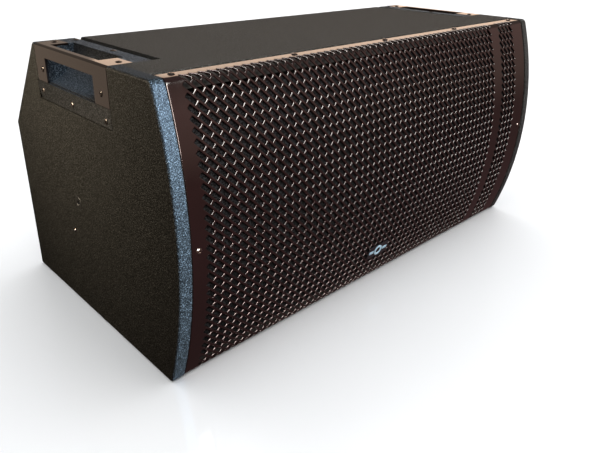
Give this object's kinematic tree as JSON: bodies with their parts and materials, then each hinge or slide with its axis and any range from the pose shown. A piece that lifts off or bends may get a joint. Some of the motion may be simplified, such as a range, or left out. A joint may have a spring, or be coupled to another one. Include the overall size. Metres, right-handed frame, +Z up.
{
  "type": "line array speaker",
  "caption": "Line array loudspeaker cabinet with a curved perforated front grille, corner grip handles, woofers with moving cones and a slot horn.",
  "frame": {"origin": "on the floor under the middle of the cabinet's bounding box", "axes": "+X to the right as seen from the front, +Y from the grille to the back, +Z up"},
  "size_m": [0.8636, 0.4728, 0.4148],
  "materials": {
    "textured_cabinet": "plywood under black orange-peel textured paint",
    "black_wood": "plywood brushed flat black",
    "bare_plywood": "bare birch plywood",
    "wadding": "polyester wadding",
    "grille_steel": "gloss black powder coat",
    "open_cell_foam": "black open-cell acoustic foam",
    "screw_steel": "blackened and worn steel",
    "badge_enamel": "black badge with a silver-blue emblem",
    "cup_paint": "pressed steel under the cabinet's textured paint",
    "grip_steel": "gloss black powder coat on bent steel",
    "insert_steel": "steel insert painted over",
    "cast_basket": "cast aluminium painted black",
    "gasket_rubber": "soft rubber",
    "surround_cloth": "doped cloth half roll",
    "spider_cloth": "resin-dipped cloth",
    "cone_paper": "coated paper pulp",
    "copper_winding": "enamelled copper wire",
    "magnet_ferrite": "ground ferrite",
    "yoke_steel": "zinc-plated steel",
    "horn_plastic": "moulded black plastic",
    "driver_paint": "black painted metal",
    "circuit_board": "green circuit board",
    "standoff_brass": "turned brass",
    "capacitor_case": "blue film capacitor",
    "plate_paint": "black powder coat",
    "socket_plastic": "dark blue moulded plastic",
    "wire_sleeve": "red wire insulation"
  },
  "bodies": {
    "cabinet": {"top_panel": "textured_cabinet", "bottom_panel": "textured_cabinet", "rear_upper_panel": "textured_cabinet", "rear_lower_panel": "textured_cabinet", "left_side_panel": "textured_cabinet", "right_side_panel": "textured_cabinet", "front_baffle": "black_wood", "rear_brace": "bare_plywood", "port_inner_wall": "bare_plywood", "port_outer_wall": "bare_plywood", "damping_lining": "wadding", "left_grille_batten": "black_wood", "right_grille_batten": "black_wood", "grille_rib": "black_wood", "top_grille_rail": "black_wood", "bottom_grille_rail": "black_wood", "front_grille": "grille_steel", "grille_foam": "open_cell_foam", "grille_screws": "screw_steel", "badge": "badge_enamel", "left_handle_cup": "cup_paint", "right_handle_cup": "cup_paint", "left_corner_grip": "grip_steel", "right_corner_grip": "grip_steel", "left_handle_screws": "screw_steel", "right_handle_screws": "screw_steel", "left_rigging_insert": "insert_steel", "right_rigging_insert": "insert_steel", "side_stud_screws": "screw_steel", "left_woofer_basket": "cast_basket", "right_woofer_basket": "cast_basket", "left_woofer_gasket": "gasket_rubber", "right_woofer_gasket": "gasket_rubber", "left_woofer_surround": "surround_cloth", "right_woofer_surround": "surround_cloth", "left_woofer_spider": "spider_cloth", "right_woofer_spider": "spider_cloth", "left_woofer_magnet": "magnet_ferrite", "right_woofer_magnet": "magnet_ferrite", "left_woofer_yoke": "yoke_steel", "right_woofer_yoke": "yoke_steel", "woofer_screws": "screw_steel", "horn_waveguide": "horn_plastic", "compression_driver": "driver_paint", "horn_screws": "screw_steel", "crossover_board": "circuit_board", "crossover_standoffs": "standoff_brass", "crossover_inductors": "copper_winding", "crossover_capacitors": "capacitor_case", "connector_plate": "plate_paint", "connector_plate_screws": "screw_steel", "input_socket": "socket_plastic", "link_socket": "socket_plastic", "internal_wiring": "wire_sleeve"},
    "left_cone_assembly": {"left_woofer_cone": "cone_paper", "left_woofer_dust_cap": "cone_paper", "left_woofer_voice_coil": "copper_winding"},
    "right_cone_assembly": {"right_woofer_cone": "cone_paper", "right_woofer_dust_cap": "cone_paper", "right_woofer_voice_coil": "copper_winding"}
  },
  "joints": [
    {"name": "left_cone_travel", "type": "slide", "parent": "cabinet", "child": "left_cone_assembly", "axis": [0, -1, 0], "range_m": [-0.006, 0.006], "stiffness_N_per_m": 4000},
    {"name": "right_cone_travel", "type": "slide", "parent": "cabinet", "child": "right_cone_assembly", "axis": [0, -1, 0], "range_m": [-0.006, 0.006], "stiffness_N_per_m": 4000}
  ]
}
